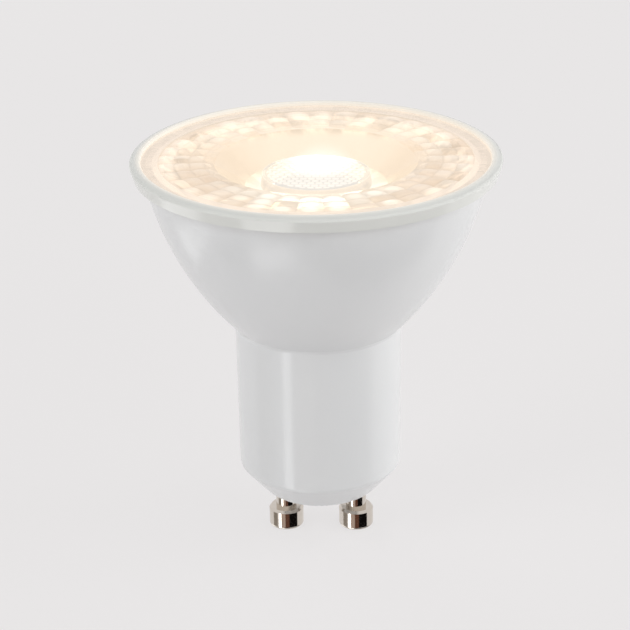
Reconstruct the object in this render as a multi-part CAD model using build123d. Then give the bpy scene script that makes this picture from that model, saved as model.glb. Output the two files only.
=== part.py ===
from build123d import *
import math
import os

os.makedirs("parts", exist_ok=True)

# Twist-lock LED spot lamp, in millimetres.
# The pin tips are at z = 0, the light leaves along +Z, and the two pins stand on the X axis.

# Edges within this of a height count as level with it
level_tolerance = 0.01

# Heights, from the pin tips upwards
pin_proud = 6.95
key_chamfer_height = 3.85
neck_height = 21.1
bowl_height = 22.0
ring_height = 2.1

# Outside of the housing
base_flat_radius = 8.0
neck_foot_radius = 11.35
neck_top_radius = 11.5
bowl_arc_radius = 43.1
base_edge_round = 0.4
neck_edge_round = 0.8
neck_fillet = 0.7

# Walls of the housing
plastic_wall = 1.3
base_floor = 2.6

# Front ring and its snap over the rim of the housing
ring_radius = 25.0
ring_taper = 0.45
ring_face_width = 1.5
ring_foot_width = 1.35
ring_lip = 0.55
ring_lip_chamfer = 0.2
ring_crown = 0.4
ring_fall = 0.2
ring_edge_round = 0.4
bead_proud = 0.35
bead_land = 0.3
snap_clearance = 0.05

# Lens
flange_thickness = 0.85
flange_overlap = 0.55
flange_clearance = 0.1
flange_width = 2.3
facet_columns = 36
facet_rings = 3
facet_pitch = 2.05
facet_margin = 1.1
facet_rise = 0.3
facet_step = 0.05
facet_roundness = 0.4
land_width = 2.3
well_wall_width = 4.1
well_floor_width = 2.3
well_depth = 3.7
button_draft = 0.2
button_drop = 2.1
cell_pitch = 1.08
cell_rise = 0.16
collimator_foot_radius = 7.1
collimator_bulge = 1.0
collimator_shoulder = 0.5
entry_radius = 5.6
entry_height = 4.6
entry_crown = 0.8
foot_height = 0.7

# Aluminium cup, pad and LED board
cup_gap = 0.1
cup_wall = 0.9
cup_floor_height = 9.3
cup_corner_radius = 1.2
cup_rim_drop = 1.1
lens_to_cup = 0.4
pad_thickness = 0.2
led_board_clearance = 0.2
led_board_thickness = 1.2
led_side = 3.0
led_height = 0.7
led_gap = 0.4
led_window_radius = 1.2
led_window_depth = 0.12

# Screws that hold the LED board, the pad and the cup
screw_circle_radius = 12.0
screw_shank_radius = 1.25
screw_head_radius = 2.2
screw_head_height = 1.5
screw_reach = 5.5
screw_slot_width = 0.6
screw_slot_depth = 0.7
screw_clearance = 0.2
thread_clearance = 0.02
boss_radius = 2.6
boss_bottom_gap = 0.6

# Contact pins
pin_pitch = 10.0
pin_head_radius = 2.45
pin_head_height = 3.0
pin_tip_round = 0.45
pin_head_step_radius = 2.15
pin_head_step_height = 0.35
pin_neck_radius = 1.45
pin_hole_clearance = 0.03
pin_collar_radius = 2.0
pin_collar_height = 0.7
pin_socket_radius = 0.75
pin_socket_depth = 3.0

# Driver board and the rails that hold it
board_thickness = 1.2
board_face_y = -0.7
board_above_neck = 4.45
board_lift = 2.4
board_edge_clearance = 0.3
rail_thickness = 1.0
rail_depth = 1.1
rail_clearance = 0.1
rail_to_component = 0.2
board_corner_radius = 1.0

# Wires and component leads
wire_radius = 0.55
wire_core_radius = 0.3
wire_end = 3.0
wire_bare = 1.4
wire_seat = 0.1
wire_clearance = 0.2
output_wire_x = 8.9
output_wire_down = 3.0
solder_radius = 0.95
solder_height = 0.5
lead_radius = 0.3
lead_clearance = 0.1
lead_proud = 0.9

# Components on the front of the driver board: x across, and height above the board's foot
fuse_up = 5.5
fuse_radius = 1.6
fuse_length = 9.0
fuse_sleeve_wall = 0.25
fuse_sleeve_length = 11.0
fuse_sleeve_gap = 0.03
fuse_lead_span = 13.2
film_up = 12.0
film_width = 8.0
film_depth = 5.0
film_height = 7.0
film_lead_pitch = 5.0
can_radius = 4.0
can_length = 11.5
can_up = 8.9
can_lead_pitch = 3.5
can_groove = 0.25
part_seat = 0.1
can_lead_drop = 0.7
small_can_radius = 3.15
small_can_length = 6.6
small_can_up = 21.9
small_can_lead_pitch = 2.5
choke_up = 20.0
choke_radius = 4.0
choke_height = 5.6
choke_flange = 0.9
choke_core_radius = 1.8
choke_winding_gap = 0.05
choke_winding_inset = 0.5
choke_lead_pitch = 5.0

# Components on the back of the driver board
bridge_size = (4.7, 2.5, 3.9)
bridge_place = (0.0, 4.2)
chip_size = (4.9, 1.6, 3.9)
chip_place = (3.6, 13.4)
diode_size = (4.3, 2.2, 2.6)
diode_place = (4.4, 17.7)
resistor_size = (2.0, 0.55, 1.25)
resistor_places = [(-7.3, 15.8), (-4.7, 15.8), (-2.1, 15.8), (7.3, 10.8)]
chip_capacitor_size = (2.0, 0.9, 1.25)
chip_capacitor_places = [(-0.6, 9.2), (0.4, 21.6)]
chip_leg_width = 0.4
chip_leg_reach = 1.0
chip_leg_thickness = 0.25
chip_legs_per_side = 4
chip_leg_pitch = 1.27
bridge_leg_width = 0.7
bridge_leg_pitch = 2.5
bridge_legs_per_side = 2

# Radii worked out from the sizes above, inwards from the ring
ring_foot_radius = ring_radius - ring_taper
bowl_mouth_radius = ring_foot_radius - ring_foot_width
ring_opening_radius = ring_radius - ring_face_width
facet_step_radius = ring_opening_radius - flange_width
facet_inner_radius = facet_step_radius - facet_margin - (facet_rings - 1) * facet_pitch
well_mouth_radius = facet_inner_radius - land_width
well_foot_radius = well_mouth_radius - well_wall_width
button_radius = well_foot_radius - well_floor_width

# Heights worked out from the sizes above
base_z = pin_proud
neck_z = base_z + key_chamfer_height
bowl_z = neck_z + neck_height
ring_z = bowl_z + bowl_height
top_z = ring_z + ring_height
floor_z = base_z + base_floor
face_z = top_z - ring_lip
seat_z = face_z - flange_thickness
cup_floor_z = bowl_z + cup_floor_height
cup_rim_z = seat_z - cup_rim_drop
pad_z = cup_floor_z + cup_wall
led_board_z = pad_z + pad_thickness
led_face_z = led_board_z + led_board_thickness
board_foot_z = floor_z + board_lift
board_top_z = bowl_z + board_above_neck

# Places on the driver board and in the bore of the neck
board_back_y = board_face_y - board_thickness
neck_bore_radius = neck_foot_radius - plastic_wall
cup_outer_inset = plastic_wall + cup_gap
cup_inner_inset = cup_outer_inset + cup_wall
board_edge_x = math.sqrt(neck_bore_radius**2 - board_back_y**2) - board_edge_clearance
rail_x = board_edge_x - rail_depth
film_x = film_width / 2 + rail_to_component - rail_x
choke_x = choke_radius + rail_to_component - rail_x
can_x = rail_x - rail_to_component - can_radius
output_wire_y = board_face_y + wire_radius + wire_seat


def arc_centre(start, end, radius):
    """Centre, on the axis side, of an arc of this radius from start up to end."""
    across = end[0] - start[0]
    up = end[1] - start[1]
    chord = math.hypot(across, up)
    reach = math.sqrt(radius**2 - chord**2 / 4)
    middle = ((start[0] + end[0]) / 2, (start[1] + end[1]) / 2)
    return (middle[0] - reach * up / chord, middle[1] + reach * across / chord)


bowl_centre = arc_centre((neck_top_radius, bowl_z), (bowl_mouth_radius, ring_z), bowl_arc_radius)


def bowl_radius(z, inset=0.0):
    """Radius at height z of the bowl's outside, or of a wall this far inside it."""
    return bowl_centre[0] + math.sqrt((bowl_arc_radius - inset) ** 2 - (z - bowl_centre[1]) ** 2)


def bowl_height_at(radius, inset=0.0):
    """Height at which the bowl, or a wall this far inside it, has the given radius."""
    return bowl_centre[1] - math.sqrt((bowl_arc_radius - inset) ** 2 - (radius - bowl_centre[0]) ** 2)


def bowl_arc(low, high, inset=0.0):
    """Stretch of the bowl's section between two heights."""
    heights = (low, (low + high) / 2, high)
    return ThreePointArc(*[(bowl_radius(z, inset), z) for z in heights])


def base_cone_radius(z):
    """Inner radius of the base, a plastic wall inside its chamfer."""
    slope = (neck_foot_radius - base_flat_radius) / key_chamfer_height
    return base_flat_radius + slope * (z - base_z) - plastic_wall * math.hypot(1, slope)


def base_cone_height(radius):
    """Height at which the inside of the base has the given radius."""
    slope = (neck_foot_radius - base_flat_radius) / key_chamfer_height
    return base_z + (radius - base_flat_radius + plastic_wall * math.hypot(1, slope)) / slope


def turned(*curves, start=0.0, arc=360.0):
    """Solid swept about the lamp's axis by a closed section in radius and height."""
    edges = [edge for curve in curves for edge in (Plane.XZ * curve).edges()]
    return Rot(0, 0, start) * revolve(make_face(edges), axis=Axis.Z, revolution_arc=arc)


def column(radius, low, high, x=0.0, y=0.0):
    """Upright cylinder between two heights."""
    return Pos(x, y, low) * Cylinder(radius, high - low, align=(Align.CENTER, Align.CENTER, Align.MIN))


def peg(radius, y_from, y_to, x, z):
    """Cylinder along Y, from y_from back to the lower y_to."""
    rod = Cylinder(radius, y_from - y_to, align=(Align.CENTER, Align.CENTER, Align.MIN))
    return Pos(x, y_from, z) * Rot(90, 0, 0) * rod


def block(x_span, y_span, z_span):
    """Box between two values on each axis."""
    size = [high - low for low, high in (x_span, y_span, z_span)]
    return Pos(x_span[0], y_span[0], z_span[0]) * Box(*size, align=(Align.MIN, Align.MIN, Align.MIN))


def level_edges(solid, height):
    """Edges of the solid that lie level at this height."""
    return solid.edges().filter_by_position(Axis.Z, height - level_tolerance, height + level_tolerance)


def outer_form():
    """The housing as a full solid: base, neck, bowl and the rim with its snap bead."""
    bead_radius = bowl_mouth_radius + bead_proud
    bead_z = ring_z + bead_land
    bead_slope = (seat_z - bead_z) / 3
    lower = Polyline(
        (bowl_radius(bowl_z), bowl_z),
        (neck_foot_radius, neck_z),
        (base_flat_radius, base_z),
        (0, base_z),
        (0, seat_z),
        (bead_radius - bead_slope, seat_z),
        (bead_radius, seat_z - bead_slope),
        (bead_radius, bead_z + bead_slope),
        (bowl_mouth_radius, bead_z),
        (bowl_mouth_radius, ring_z),
    )
    form = turned(lower, bowl_arc(bowl_z, ring_z))
    for height, radius in ((base_z, base_edge_round), (neck_z, neck_edge_round), (bowl_z, neck_fillet)):
        form = fillet(level_edges(form, height), radius)
    return form


def inner_form():
    """The space inside the housing, open at the rim."""
    corner_z = bowl_height_at(neck_bore_radius, plastic_wall)
    upper_z = seat_z + plastic_wall
    walls = Polyline(
        (neck_bore_radius, corner_z),
        (neck_bore_radius, base_cone_height(neck_bore_radius)),
        (base_cone_radius(floor_z), floor_z),
        (0, floor_z),
        (0, upper_z),
        (bowl_radius(upper_z, plastic_wall), upper_z),
    )
    return turned(walls, bowl_arc(corner_z, upper_z, plastic_wall))


def rails():
    """Two rails and a stop on each side of the neck, which take the driver board's edges."""
    front_y = board_face_y + rail_clearance
    back_y = board_back_y - rail_clearance
    sides = []
    for span in ((rail_x, neck_top_radius), (-neck_top_radius, -rail_x)):
        sides.append(block(span, (front_y, front_y + rail_thickness), (base_z, bowl_z)))
        sides.append(block(span, (back_y - rail_thickness, back_y), (base_z, bowl_z)))
        sides.append(block(span, (back_y, front_y), (base_z, board_foot_z)))
    return sides


def housing():
    """One white moulding: chamfered base, neck with rails, bowl with two screw bosses."""
    full = outer_form()
    body = full - inner_form()
    bosses = [column(boss_radius, bowl_z, cup_floor_z, 0, side * screw_circle_radius) for side in (1, -1)]
    for feature in rails() + bosses:
        body += feature & full
    for side in (1, -1):
        pilot_low = cup_floor_z - screw_reach - boss_bottom_gap
        pilot = screw_shank_radius + thread_clearance
        body -= column(pilot, pilot_low, cup_floor_z + plastic_wall, 0, side * screw_circle_radius)
        body -= column(pin_neck_radius + pin_hole_clearance, base_z - 1, board_foot_z, side * pin_pitch / 2)
    return body


def front_ring():
    """Ring that snaps over the rim's bead and holds the lens flange down with its lip."""
    grip_radius = bowl_mouth_radius + snap_clearance
    groove_radius = bowl_mouth_radius + bead_proud + snap_clearance
    recess_radius = ring_opening_radius + flange_overlap + flange_clearance
    bead_z = ring_z + bead_land - snap_clearance
    edge_low = (ring_radius, top_z - ring_fall - ring_edge_round)
    edge_high = (ring_radius - ring_edge_round, top_z - ring_fall)
    crown_radius = ring_opening_radius + ring_lip_chamfer
    inside = Polyline(
        edge_high,
        (crown_radius + ring_crown, top_z),
        (crown_radius, top_z),
        (ring_opening_radius, top_z - ring_lip_chamfer),
        (ring_opening_radius, face_z),
        (recess_radius, face_z),
        (recess_radius, seat_z),
        (groove_radius, seat_z),
        (groove_radius, bead_z + bead_proud / 2),
        (grip_radius, bead_z),
        (grip_radius, ring_z),
        (ring_foot_radius, ring_z),
        edge_low,
    )
    return turned(inside, RadiusArc(edge_low, edge_high, -ring_edge_round))


def lens_sector_section():
    """Section of the lens outside its button, without the domes of the facets."""
    land_z = face_z - facet_step - facet_rise
    well_z = face_z - well_depth
    tir_top_radius = bowl_radius(cup_rim_z, cup_inner_inset) - lens_to_cup
    tir_top_z = seat_z - collimator_shoulder
    tir_foot_z = led_face_z + foot_height
    roof_z = led_face_z + entry_height
    middle = ((collimator_foot_radius + tir_top_radius) / 2, (tir_foot_z + tir_top_z) / 2)
    lean = math.hypot(tir_top_radius - collimator_foot_radius, tir_top_z - tir_foot_z)
    bulge = (
        middle[0] + collimator_bulge * (tir_top_z - tir_foot_z) / lean,
        middle[1] - collimator_bulge * (tir_top_radius - collimator_foot_radius) / lean,
    )
    collimator = ThreePointArc((tir_top_radius, tir_top_z), bulge, (collimator_foot_radius, tir_foot_z))
    crown = ThreePointArc(
        (entry_radius, roof_z),
        (entry_radius * math.sqrt(0.5), roof_z - entry_crown / 2),
        (0, roof_z - entry_crown),
    )
    upper = Polyline(
        (0, roof_z - entry_crown),
        (0, well_z),
        (well_foot_radius, well_z),
        (well_mouth_radius, land_z),
        (facet_step_radius, land_z),
        (facet_step_radius, face_z),
        (ring_opening_radius + flange_overlap, face_z),
        (ring_opening_radius + flange_overlap, seat_z),
        (tir_top_radius, seat_z),
        (tir_top_radius, tir_top_z),
    )
    foot = Polyline(
        (collimator_foot_radius, tir_foot_z),
        (collimator_foot_radius, led_face_z),
        (entry_radius, led_face_z),
        (entry_radius, roof_z),
    )
    return (upper, collimator, foot, crown)


def lens_sector():
    """One column of the lens: a slice of the body with a dome on each ring of facets."""
    slice_angle = 360 / facet_columns
    apex_z = face_z - facet_step
    piece = turned(*lens_sector_section(), start=-slice_angle / 2, arc=slice_angle)
    room = Polyline(
        (well_mouth_radius, apex_z - facet_rise),
        (facet_step_radius, apex_z - facet_rise),
        (facet_step_radius, top_z),
        (well_mouth_radius, top_z),
        close=True,
    )
    wedge = turned(room, start=-slice_angle / 2, arc=slice_angle)
    for ring in range(facet_rings):
        dome_at = facet_inner_radius + ring * facet_pitch
        dome_radius = facet_roundness * dome_at
        # The ball's poles lie sideways, so that each facet is a plain four-sided patch of it.
        ball = Pos(dome_at, 0, apex_z - dome_radius) * Rot(0, 90, 0) * Sphere(dome_radius)
        piece += ball & wedge
    return piece


def honeycomb_button():
    """Raised middle of the lens, covered with six-sided lenslets."""
    top = face_z - button_drop
    outline = RegularPolygon(cell_pitch / 2, 6, major_radius=False, rotation=30)
    cell = loft([outline.face(), Vertex(0, 0, cell_rise)])
    rows = int(button_radius / cell_pitch) + 2
    cells = []
    for row in range(-rows, rows + 1):
        for place in range(-2 * rows, 2 * rows + 1):
            x = cell_pitch * (place + row / 2)
            y = cell_pitch * row * math.sqrt(3) / 2
            if math.hypot(x, y) + cell_pitch / math.sqrt(3) < button_radius:
                cells.append(Pos(x, y, top) * cell)
    side = Polyline(
        (0, face_z - well_depth),
        (button_radius + button_draft, face_z - well_depth),
        (button_radius, top),
        (0, top),
        close=True,
    )
    return turned(side).fuse(*cells)


def lens():
    """Clear moulding: flange, three rings of domed facets, well, button and collimator."""
    slice_angle = 360 / facet_columns
    sector = lens_sector()
    sectors = [Rot(0, 0, column_number * slice_angle) * sector for column_number in range(facet_columns)]
    body = sectors[0].fuse(*sectors[1:])
    return body.fuse(honeycomb_button())


def heat_sink_cup():
    """Drawn aluminium cup nested in the bowl, with holes for the screws and the wires."""
    floor = Polyline(
        (bowl_radius(cup_floor_z, cup_outer_inset), cup_floor_z),
        (0, cup_floor_z),
        (0, pad_z),
        (bowl_radius(pad_z, cup_inner_inset), pad_z),
    )
    rim_radii = (bowl_radius(cup_rim_z, cup_outer_inset), bowl_radius(cup_rim_z, cup_inner_inset))
    rim = Line(*[(radius, cup_rim_z) for radius in rim_radii])
    outer = bowl_arc(cup_floor_z, cup_rim_z, cup_outer_inset)
    inner = bowl_arc(pad_z, cup_rim_z, cup_inner_inset)
    cup = turned(floor, rim, outer, inner)
    for height, radius in ((pad_z, cup_corner_radius), (cup_floor_z, cup_corner_radius + cup_wall)):
        cup = fillet(level_edges(cup, height), radius)
    return drilled(cup, cup_floor_z, pad_z, wire_radius + wire_clearance)


def drilled(plate, low, high, wire_hole_radius):
    """The plate with its two screw holes and its two wire holes."""
    for side in (1, -1):
        hole = screw_shank_radius + screw_clearance
        plate -= column(hole, low - 1, high + 1, 0, side * screw_circle_radius)
        plate -= column(wire_hole_radius, low - 1, high + 1, side * output_wire_x, output_wire_y)
    return plate


def board_radius():
    """The pad and the LED board lie on the flat of the cup's floor."""
    return bowl_radius(pad_z, cup_inner_inset) - cup_corner_radius - led_board_clearance


def thermal_pad():
    """Soft pad that carries the LED board's heat to the cup."""
    pad = column(board_radius(), pad_z, led_board_z)
    return drilled(pad, pad_z, led_board_z, wire_radius + wire_clearance)


def led_board():
    """Round board with an aluminium core."""
    board = column(board_radius(), led_board_z, led_face_z)
    return drilled(board, led_board_z, led_face_z, wire_core_radius + lead_clearance)


def led(column_side, row_side):
    """Square LED package with a round window sunk in its top."""
    shift = (led_side + led_gap) / 2
    x = column_side * shift
    y = row_side * shift
    half = led_side / 2
    top = led_face_z + led_height
    body = block((x - half, x + half), (y - half, y + half), (led_face_z, top))
    return body - column(led_window_radius, top - led_window_depth, top + 1, x, y)


def board_screws():
    """Two self-tapping screws, down into the housing's bosses."""
    both = []
    for side in (1, -1):
        y = side * screw_circle_radius
        head_top = led_face_z + screw_head_height
        screw = column(screw_head_radius, led_face_z, head_top, 0, y)
        screw = chamfer(screw.edges().sort_by(Axis.Z)[-1], screw_head_height / 4)
        screw += column(screw_shank_radius, cup_floor_z - screw_reach, led_face_z, 0, y)
        across = (-screw_head_radius, screw_head_radius)
        slot_y = (y - screw_slot_width / 2, y + screw_slot_width / 2)
        screw -= block(across, slot_y, (head_top - screw_slot_depth, head_top + 1))
        both.append(screw)
    return Compound(children=both)


def contact_pin(side):
    """Headed pin, riveted over inside the base, with a socket for its wire."""
    collar_z = floor_z + pin_collar_height
    tip = pin_tip_round
    step_z = pin_head_height - pin_head_step_height
    outline = Polyline(
        (pin_head_radius, tip),
        (pin_head_radius, step_z),
        (pin_head_step_radius, pin_head_height),
        (pin_neck_radius, pin_head_height),
        (pin_neck_radius, floor_z),
        (pin_collar_radius, floor_z),
        (pin_collar_radius, collar_z),
        (pin_socket_radius, collar_z),
        (pin_socket_radius, collar_z - pin_socket_depth),
        (0, collar_z - pin_socket_depth),
        (0, 0),
        (pin_head_radius - tip, 0),
    )
    tip_edge = RadiusArc((pin_head_radius - tip, 0), (pin_head_radius, tip), -tip)
    return Pos(side * pin_pitch / 2, 0, 0) * turned(outline, tip_edge)


def input_wire(side):
    """Short wire from the pin's socket up to the foot of the driver board."""
    x = side * pin_pitch / 2
    collar_z = floor_z + pin_collar_height
    top = board_foot_z + wire_end
    core = column(wire_core_radius, collar_z - pin_socket_depth, top, x)
    return core + column(wire_radius, collar_z - wire_bare, top - wire_bare, x)


def output_wire(side):
    """Wire from the top of the driver board through the cup to its solder joint on the LED board."""
    x = side * output_wire_x
    y = output_wire_y
    foot = board_top_z - output_wire_down
    joint = column(solder_radius, led_face_z, led_face_z + solder_height, x, y)
    joint = chamfer(joint.edges().sort_by(Axis.Z)[-1], solder_height * 0.8)
    wire = column(wire_core_radius, foot, led_face_z, x, y)
    wire += column(wire_radius, foot + wire_bare, led_board_z, x, y)
    return wire + joint


def fuse_places():
    """Where the fuse resistor's leads go through the board."""
    return [(side * fuse_lead_span / 2, board_foot_z + fuse_up) for side in (1, -1)]


def film_places():
    """Where the film capacitor's leads go through the board."""
    return [(film_x + side * film_lead_pitch / 2, board_foot_z + film_up) for side in (1, -1)]


def can_places(pitch, up):
    """Where a capacitor can's leads go through the board, just below the can."""
    return [(can_x + side * pitch / 2, board_foot_z + up - can_lead_drop) for side in (1, -1)]


def choke_places():
    """Where the choke's pins go through the board."""
    return [(choke_x + side * choke_lead_pitch / 2, board_foot_z + choke_up) for side in (1, -1)]


def lead(place, y_from):
    """Straight lead from y_from back through the board."""
    return peg(lead_radius, y_from, board_back_y - lead_proud, *place)


def driver_board():
    """Upright glass-fibre board, drilled for every lead."""
    sheet = RectangleRounded(2 * board_edge_x, board_top_z - board_foot_z, board_corner_radius)
    upright = Pos(0, board_face_y, (board_foot_z + board_top_z) / 2) * Rot(90, 0, 0)
    board = upright * extrude(sheet, board_thickness)
    places = fuse_places() + film_places() + choke_places()
    places += can_places(can_lead_pitch, can_up) + can_places(small_can_lead_pitch, small_can_up)
    for place in places:
        board -= peg(lead_radius + lead_clearance, board_face_y + 1, board_back_y - 1, *place)
    return board


def fuse_axis_y():
    """The sleeved resistor lies against the board."""
    return board_face_y + fuse_radius + fuse_sleeve_gap + fuse_sleeve_wall + part_seat


def along_x(radius, half_length, z):
    """Cylinder along X, centred over the board at the fuse resistor's depth."""
    return Pos(0, fuse_axis_y(), z) * Rot(0, 90, 0) * Cylinder(radius, 2 * half_length)


def fuse_resistor():
    """Fusible resistor lying across the board, with its leads bent back through it."""
    z = board_foot_z + fuse_up
    body = along_x(fuse_radius, fuse_length / 2, z)
    body = fillet(body.edges(), fuse_radius / 4)
    body += along_x(lead_radius, fuse_lead_span / 2, z)
    for place in fuse_places():
        body += Pos(place[0], fuse_axis_y(), z) * Sphere(lead_radius)
        body += lead(place, fuse_axis_y())
    return body


def fuse_sleeve():
    """Shrink sleeve round the fuse resistor."""
    z = board_foot_z + fuse_up
    bore = fuse_radius + fuse_sleeve_gap
    half = fuse_sleeve_length / 2
    return along_x(bore + fuse_sleeve_wall, half, z) - along_x(bore, half + 1, z)


def film_capacitor():
    """Boxed film capacitor standing on the board."""
    z = board_foot_z + film_up
    half = film_width / 2
    span_z = (z - film_height / 2, z + film_height / 2)
    body = block((film_x - half, film_x + half), (board_face_y, board_face_y + film_depth), span_z)
    body = fillet(body.edges().filter_by(Axis.Y), film_depth / 10)
    for place in film_places():
        body += lead(place, board_face_y + lead_radius)
    return body


def capacitor_can(radius, length, up, pitch):
    """Electrolytic can lying upright against the board, with its leads bent into it."""
    low = board_foot_z + up
    y = board_face_y + radius + part_seat
    groove_z = low + length / 6
    can = column(radius, low, low + length, can_x, y)
    can = fillet(can.edges(), can_groove)
    groove = column(radius + 1, groove_z, groove_z + 2 * can_groove, can_x, y)
    can -= groove - column(radius - can_groove, groove_z - 1, groove_z + 1, can_x, y)
    for place in can_places(pitch, up):
        can += column(lead_radius, place[1], low + can_groove, place[0], y)
        can += Pos(place[0], y, place[1]) * Sphere(lead_radius)
        can += lead(place, y)
    return can


def choke_core():
    """Ferrite drum with two pins."""
    z = board_foot_z + choke_up
    top = board_face_y + choke_height
    core = peg(choke_radius, board_face_y + choke_flange, board_face_y, choke_x, z)
    core += peg(choke_radius, top, top - choke_flange, choke_x, z)
    core += peg(choke_core_radius, top, board_face_y, choke_x, z)
    for place in choke_places():
        core += lead(place, board_face_y + lead_radius)
    return core


def choke_winding():
    """Copper winding between the drum's flanges."""
    z = board_foot_z + choke_up
    low = board_face_y + choke_flange + choke_winding_gap
    high = board_face_y + choke_height - choke_flange - choke_winding_gap
    outer = peg(choke_radius - choke_winding_inset, high, low, choke_x, z)
    return outer - peg(choke_core_radius + choke_winding_gap, high + 1, low - 1, choke_x, z)


def back_block(size, place):
    """Package on the back of the board: width, thickness and height, centred at its place."""
    width, thickness, height = size
    x = place[0]
    z = board_foot_z + place[1]
    y_span = (board_back_y - thickness, board_back_y)
    return block((x - width / 2, x + width / 2), y_span, (z - height / 2, z + height / 2))


def legged_package(size, place, legs, pitch, leg_width):
    """Moulded package with a row of bent legs above and below."""
    width, thickness, height = size
    x = place[0]
    z = board_foot_z + place[1]
    body = back_block(size, place)
    middle_y = board_back_y - thickness / 2
    for number in range(legs):
        leg_x = x + (number - (legs - 1) / 2) * pitch
        x_span = (leg_x - leg_width / 2, leg_x + leg_width / 2)
        for side in (1, -1):
            root = z + side * height / 2
            knee = root + side * chip_leg_reach / 2
            toe = root + side * chip_leg_reach
            arm = sorted((root, knee))
            shin = sorted((knee - side * chip_leg_thickness, knee))
            sole = sorted((knee - side * chip_leg_thickness, toe))
            body += block(x_span, (middle_y, middle_y + chip_leg_thickness), arm)
            body += block(x_span, (middle_y, board_back_y), shin)
            body += block(x_span, (board_back_y - chip_leg_thickness, board_back_y), sole)
    return body


def end_capped(size, place):
    """Chip part with a slightly proud metal cap at each end."""
    width, thickness, height = size
    cap = width / 5
    proud = thickness / 12
    core = (width - 2 * cap, thickness - proud, height - 2 * proud)
    body = back_block(core, place)
    for side in (1, -1):
        cap_place = (place[0] + side * (width - cap) / 2, place[1])
        body += back_block((cap, thickness, height), cap_place)
    return body


parts = {
    "housing": housing(),
    "front_ring": front_ring(),
    "lens": lens(),
    "heat_sink_cup": heat_sink_cup(),
    "thermal_pad": thermal_pad(),
    "led_board": led_board(),
    "board_screws": board_screws(),
    "contact_pin_left": contact_pin(-1),
    "contact_pin_right": contact_pin(1),
    "input_wire_left": input_wire(-1),
    "input_wire_right": input_wire(1),
    "output_wire_left": output_wire(-1),
    "output_wire_right": output_wire(1),
    "driver_board": driver_board(),
    "fuse_resistor": fuse_resistor(),
    "fuse_sleeve": fuse_sleeve(),
    "film_capacitor": film_capacitor(),
    "input_capacitor": capacitor_can(can_radius, can_length, can_up, can_lead_pitch),
    "output_capacitor": capacitor_can(
        small_can_radius, small_can_length, small_can_up, small_can_lead_pitch
    ),
    "choke_core": choke_core(),
    "choke_winding": choke_winding(),
    "bridge_rectifier": legged_package(
        bridge_size, bridge_place, bridge_legs_per_side, bridge_leg_pitch, bridge_leg_width
    ),
    "driver_chip": legged_package(chip_size, chip_place, chip_legs_per_side, chip_leg_pitch, chip_leg_width),
    "freewheel_diode": end_capped(diode_size, diode_place),
}
for number, (column_side, row_side) in enumerate([(-1, -1), (1, -1), (1, 1), (-1, 1)], start=1):
    parts[f"led_{number}"] = led(column_side, row_side)
for number, place in enumerate(resistor_places, start=1):
    parts[f"chip_resistor_{number}"] = end_capped(resistor_size, place)
for number, place in enumerate(chip_capacitor_places, start=1):
    parts[f"chip_capacitor_{number}"] = end_capped(chip_capacitor_size, place)

for name, shape in parts.items():
    export_step(shape, f"parts/{name}.step")
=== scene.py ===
import math

import bpy
from mathutils import Matrix, Vector


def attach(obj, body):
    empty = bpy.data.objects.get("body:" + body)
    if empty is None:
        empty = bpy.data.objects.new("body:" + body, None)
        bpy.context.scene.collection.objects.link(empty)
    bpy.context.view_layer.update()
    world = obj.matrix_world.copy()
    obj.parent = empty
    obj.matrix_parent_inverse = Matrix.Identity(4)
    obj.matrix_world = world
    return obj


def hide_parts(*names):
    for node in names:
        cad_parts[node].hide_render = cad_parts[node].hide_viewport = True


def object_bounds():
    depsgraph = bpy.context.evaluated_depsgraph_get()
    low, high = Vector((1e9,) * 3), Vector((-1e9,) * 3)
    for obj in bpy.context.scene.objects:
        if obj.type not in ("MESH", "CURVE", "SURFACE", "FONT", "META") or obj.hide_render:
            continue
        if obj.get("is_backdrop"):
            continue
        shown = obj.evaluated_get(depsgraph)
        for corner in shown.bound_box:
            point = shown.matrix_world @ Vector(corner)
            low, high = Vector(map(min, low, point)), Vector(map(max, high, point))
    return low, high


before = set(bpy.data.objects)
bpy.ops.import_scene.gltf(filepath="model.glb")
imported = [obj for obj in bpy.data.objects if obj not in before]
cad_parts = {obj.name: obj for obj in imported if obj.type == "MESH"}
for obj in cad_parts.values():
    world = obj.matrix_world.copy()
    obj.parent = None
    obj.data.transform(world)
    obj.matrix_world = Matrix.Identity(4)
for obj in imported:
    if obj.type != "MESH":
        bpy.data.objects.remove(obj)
cad_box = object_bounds()


# The housing is one white moulding: chamfered base, neck and bowl.
# It is a gloss thermoplastic shot in a polished tool, so its skin is smooth,
# with a faint swirl where the melt ran and fine specks under a strong light.
class Wire:
    """A socket that takes part in sums: each operator adds the Math node that works it out."""

    def __init__(self, net, socket):
        self.net = net
        self.socket = socket

    def math(self, operation, *values):
        return self.net.node("ShaderNodeMath", {"operation": operation}, dict(enumerate(values)))[0]

    def __add__(self, other):
        return self.math("ADD", self, other)

    def __sub__(self, other):
        return self.math("SUBTRACT", self, other)

    def __rsub__(self, other):
        return self.math("SUBTRACT", other, self)

    def __mul__(self, other):
        return self.math("MULTIPLY", self, other)

    def __truediv__(self, other):
        return self.math("DIVIDE", self, other)

    def __rtruediv__(self, other):
        return self.math("DIVIDE", other, self)

    def __pow__(self, other):
        return self.math("POWER", self, other)

    def __mod__(self, other):
        return self.math("FLOORED_MODULO", self, other)

    __radd__ = __add__
    __rmul__ = __mul__

    def of(self, operation, *others):
        """A function of this value, such as its sine or the larger of it and another."""
        return self.math(operation, self, *others)

    def step(self, low, high):
        """0 below low, 1 above high, with a smooth rise between them."""
        settings = {"interpolation_type": "SMOOTHSTEP"}
        return self.net.node("ShaderNodeMapRange", settings, {0: self, 1: low, 2: high})[0]

    def band(self, low, rise, fall, high):
        """0 outside low and high, 1 between rise and fall, and smooth between them."""
        return self.step(low, rise) * (1 - self.step(fall, high))


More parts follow.
